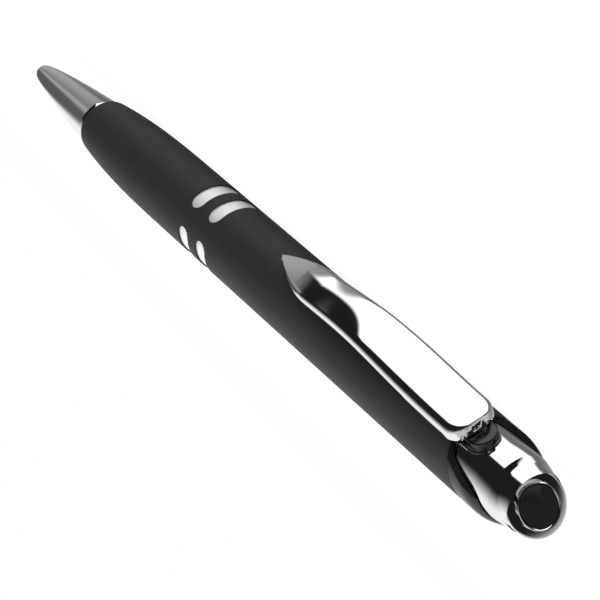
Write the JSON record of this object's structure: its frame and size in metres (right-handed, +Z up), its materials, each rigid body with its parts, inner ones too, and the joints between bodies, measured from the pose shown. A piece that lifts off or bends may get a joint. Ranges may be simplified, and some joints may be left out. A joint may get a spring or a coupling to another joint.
{
  "type": "retractable ballpoint pen",
  "caption": "Slim push-button ballpoint pen with a soft black barrel, chrome nose cone, chrome finial that is the push button, and a broad sprung clip.",
  "frame": {"origin": "middle of the pen's box, at the level of the table that it lies on", "axes": "+X along the pen towards the writing tip, +Z up as it lies on a table, with the clip on the -Y side"},
  "size_m": [0.139, 0.0156, 0.0116],
  "materials": {
    "soft_black": "soft-touch satin black over the barrel",
    "gloss_black": "glossy black plastic",
    "chrome": "polished chrome plating",
    "dark_chrome": "chrome plating in the clip's shade",
    "bright_tube": "bright aluminium, seen through the slots",
    "brass": "turned brass",
    "refill_steel": "drawn steel",
    "spring_steel": "spring wire",
    "clicker_plastic": "moulded acetal",
    "inner_plastic": "moulded plastic"
  },
  "bodies": {
    "barrel": {"barrel_sleeve": "soft_black", "barrel_tube": "bright_tube", "rear_collar": "gloss_black", "front_bush": "brass", "cam_sleeve": "clicker_plastic", "return_spring": "spring_steel"},
    "nose": {"nose_cone": "chrome"},
    "button": {"finial_shell": "chrome", "finial_core": "inner_plastic", "end_inset": "gloss_black", "inset_ring": "chrome", "cam_plunger": "clicker_plastic", "clip_post": "dark_chrome", "clip_pin": "spring_steel"},
    "clip": {"clip_leaf": "chrome"},
    "rotor": {"cam_rotor": "clicker_plastic"},
    "refill": {"refill_tube": "refill_steel", "refill_point": "brass", "refill_plug": "inner_plastic", "refill_stop": "refill_steel"},
    "ball": {"writing_ball": "refill_steel"}
  },
  "joints": [
    {"name": "press_slide", "type": "slide", "parent": "barrel", "child": "button", "axis": [1, 0, 0], "range_m": [0, 0.0055], "stiffness_N_per_m": 300, "deforming": ["return_spring"]},
    {"name": "refill_slide", "type": "slide", "parent": "barrel", "child": "refill", "axis": [1, 0, 0], "range_m": [0, 0.0055]},
    {"name": "rotor_turn", "type": "hinge", "parent": "button", "child": "rotor", "pos_m": [-0.0393, 0.00204, 0.00578], "axis": [1, 0, 0], "range_deg": [0, 45.1]},
    {"name": "clip_flex", "type": "hinge", "parent": "button", "child": "clip", "pos_m": [-0.05508, -0.00483, 0.0038], "axis": [0, 0.2771, -0.9609], "range_deg": [0, 2.5], "stiffness_Nm_per_rad": 1.5},
    {"name": "nose_unscrew", "type": "hinge", "parent": "barrel", "child": "nose", "pos_m": [0.0477, 0.00204, 0.00578], "axis": [1, 0, 0], "continuous": true},
    {"name": "ball_roll", "type": "hinge", "parent": "refill", "child": "ball", "pos_m": [0.06772, 0.00204, 0.00578], "axis": [0, 1, 0], "continuous": true}
  ],
  "couplings": [
    {"joint": "refill_slide", "follows": "press_slide", "ratio": 1},
    {"joint": "rotor_turn", "follows": "press_slide", "rad_per_m": 142.8}
  ]
}
